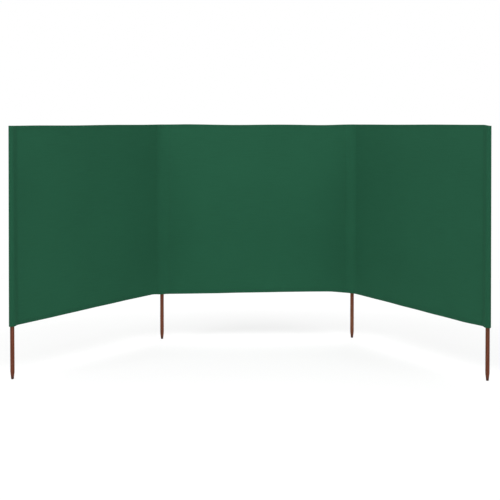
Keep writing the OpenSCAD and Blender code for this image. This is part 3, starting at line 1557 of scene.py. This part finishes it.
@dataclass(frozen=True)
class TurnedPole:
    """A round pole with a blunt, tapered point below and a rounded rim above.

    Attributes:
        name: Which of the poles it is.
        foot: Where it stands, in plan.
        radius: Radius of the shaft.
        length: Length from the foot to the top.
        point_length: Length of the point.
        point_radius: Radius of the point's blunt end.
        point_round: Radius of the round at that end.
        top_round: Radius of the round at the rim.
        sides: Number of the shaft's faces.
        round_steps: Steps of each round.
        shaft_steps: Steps along the shaft.
        point_rings: Places of the taper's rings, as shares of its length.
        shoulder_inset: How far the ring above the taper stays inside the shaft.
        shoulder_share: Height of that ring, as a share of the point's length.
        shaft_share: Height of the shaft's first ring, as such a share.
    """

    name: str
    foot: Array
    radius: float
    length: float
    point_length: float = 0.043
    point_radius: float = 0.00775
    point_round: float = 0.0025
    top_round: float = 0.003
    sides: int = 40
    round_steps: int = 4
    shaft_steps: int = 7
    point_rings: tuple[float, ...] = (0.33, 0.66, 0.93)
    shoulder_inset: float = 0.0001
    shoulder_share: float = 1.02
    shaft_share: float = 1.12

    def profile(self) -> list[tuple[float, float]]:
        """Draws the pole's outline.

        Returns:
            Radius and height of each ring, from the foot to the top.
        """
        centre = self.point_radius - self.point_round
        shoulder = (self.radius - centre, self.point_length - self.point_round)
        slope = math.atan2(shoulder[1], shoulder[0])
        tangent = slope - math.acos(self.point_round / math.hypot(*shoulder))
        rings = []
        for angle in np.linspace(-math.pi / 2, tangent, self.round_steps + 1):
            rings.append((centre + self.point_round * math.cos(angle),
                          self.point_round * (1 + math.sin(angle))))
        radius, height = rings[-1]
        for share in self.point_rings:
            rings.append((radius * (1 - share) + self.radius * share,
                          height * (1 - share) + self.point_length * share))
        rings.append((self.radius - self.shoulder_inset, self.point_length * self.shoulder_share))
        rim = self.length - self.top_round
        for level in np.linspace(self.point_length * self.shaft_share, rim, self.shaft_steps + 1):
            rings.append((self.radius, float(level)))
        for angle in np.linspace(0.0, math.pi / 2, self.round_steps + 1)[1:]:
            rings.append((self.radius - self.top_round * (1 - math.cos(angle)),
                          rim + self.top_round * math.sin(angle)))
        return rings

    def build(self, wood: Material, body: str) -> Object:
        """Turns the pole by extruding its foot upward, ring by ring.

        Args:
            wood: Its finish.
            body: The body that it moves with.

        Returns:
            The pole.
        """
        rings = self.profile()
        bpy.ops.object.select_all(action="DESELECT")
        bpy.ops.mesh.primitive_circle_add(vertices=self.sides, radius=rings[0][0], fill_type="NGON",
                                          location=(*self.foot, rings[0][1]))
        obj = bpy.context.object
        obj.name = f"{self.name}_pole_wood"
        bpy.ops.object.mode_set(mode="EDIT")
        bpy.ops.mesh.select_all(action="SELECT")
        for (below, low), (above, high) in pairwise(rings):
            bpy.ops.mesh.extrude_region_move(TRANSFORM_OT_translate={"value": (0.0, 0.0, high - low)})
            bpy.ops.transform.resize(value=(above / below, above / below, 1.0),
                                     center_override=(*self.foot, high))
        bpy.ops.mesh.select_all(action="SELECT")
        bpy.ops.mesh.normals_make_consistent(inside=False)
        bpy.ops.object.mode_set(mode="OBJECT")
        bpy.ops.object.transform_apply(location=True, rotation=True, scale=True)
        bpy.ops.object.shade_smooth_by_angle(angle=SHARP_ANGLE)
        obj.data.materials.append(wood)
        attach(obj, body)
        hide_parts(f"{self.name}_pole")
        log.info("%s: %d faces", obj.name, len(obj.data.polygons))
        return obj


# Studio

@dataclass(frozen=True)
class Lamp:
    """A large soft lamp that faces the object."""

    name: str
    azimuth: float
    elevation: float
    power: float
    distance: float = 6.5
    size: float = 3.2

    def build(self, target: Vector) -> None:
        """Hangs the lamp.

        Args:
            target: The point that it faces.
        """
        turn, rise = math.radians(self.azimuth), math.radians(self.elevation)
        away = Vector((math.sin(turn) * math.cos(rise), -math.cos(turn) * math.cos(rise), math.sin(rise)))
        data = bpy.data.lights.new(self.name, "AREA")
        data.energy = self.power
        data.size = self.size
        lamp = bpy.data.objects.new(self.name, data)
        lamp.location = target + away * self.distance
        lamp.rotation_euler = (-away).to_track_quat("-Z", "Y").to_euler()
        bpy.context.scene.collection.objects.link(lamp)


@dataclass(frozen=True)
class Studio:
    """A pale floor, a white backdrop, soft lamps and the photograph's camera."""

    floor: FloorFinish = FloorFinish()
    floor_size: float = 60.0
    ambient: float = 0.5
    lamps: tuple[Lamp, ...] = (
        Lamp("key_lamp", -50.0, 55.0, 205.0),
        Lamp("fill_lamp", 50.0, 55.0, 150.0),
        Lamp("front_lamp", 0.0, 55.0, 80.0),
        Lamp("rear_lamp", 170.0, 40.0, 170.0),
    )
    camera_place: tuple[float, float, float] = (0.4174, -6.9564, 1.5495)
    camera_yaw: float = 1.639
    camera_tilt: float = 1.4
    lens: float = 71.698
    shift: float = -0.2162

    def build(self) -> None:
        """Sets up the studio around the object."""
        bpy.context.scene.view_settings.view_transform = "Standard"
        middle = (CAD_LOW + CAD_HIGH) / 2
        self._floor(middle)
        self._backdrop()
        for lamp in self.lamps:
            lamp.build(middle)
        self._camera()

    def _floor(self, middle: Vector) -> None:
        """Lays the floor that the poles stand on.

        Args:
            middle: The middle of the object, which the floor's fade spreads from.
        """
        bpy.ops.object.select_all(action="DESELECT")
        bpy.ops.mesh.primitive_plane_add(size=self.floor_size, location=(0.0, 0.0, 0.0))
        floor = bpy.context.object
        floor.name = "studio_floor"
        floor.data.materials.append(self.floor.material(middle))

    def _backdrop(self) -> None:
        """Lights the object evenly from all round and shows white behind it."""
        world = bpy.data.worlds.new("studio_backdrop")
        bpy.context.scene.world = world
        graph = Graph(world)
        light, white = (graph.node("ShaderNodeBackground", {}, {"Color": WHITE, "Strength": strength})
                        for strength in (self.ambient, 1.0))
        graph.finish(graph.node("ShaderNodeMixShader", {}, {0: seen_directly(graph), 1: light, 2: white}))

    def _camera(self) -> None:
        """Places the camera at the photograph's viewpoint."""
        data = bpy.data.cameras.new("photo_camera")
        data.lens = self.lens
        data.shift_y = self.shift
        camera = bpy.data.objects.new("photo_camera", data)
        camera.location = self.camera_place
        camera.rotation_euler = (math.radians(90 - self.camera_tilt), 0.0, -math.radians(self.camera_yaw))
        bpy.context.scene.collection.objects.link(camera)
        bpy.context.scene.camera = camera


def main() -> None:
    """Builds the windbreak, then the studio round it."""
    logging.basicConfig(level=logging.INFO, format="%(message)s")
    maker = ClothMaker(ClothFinish().material(), ThreadFinish().material())
    Windbreak(Layout.from_frame(frame), maker, WoodFinish().material()).build()
    Studio().build()


if __name__ == "__main__":
    main()
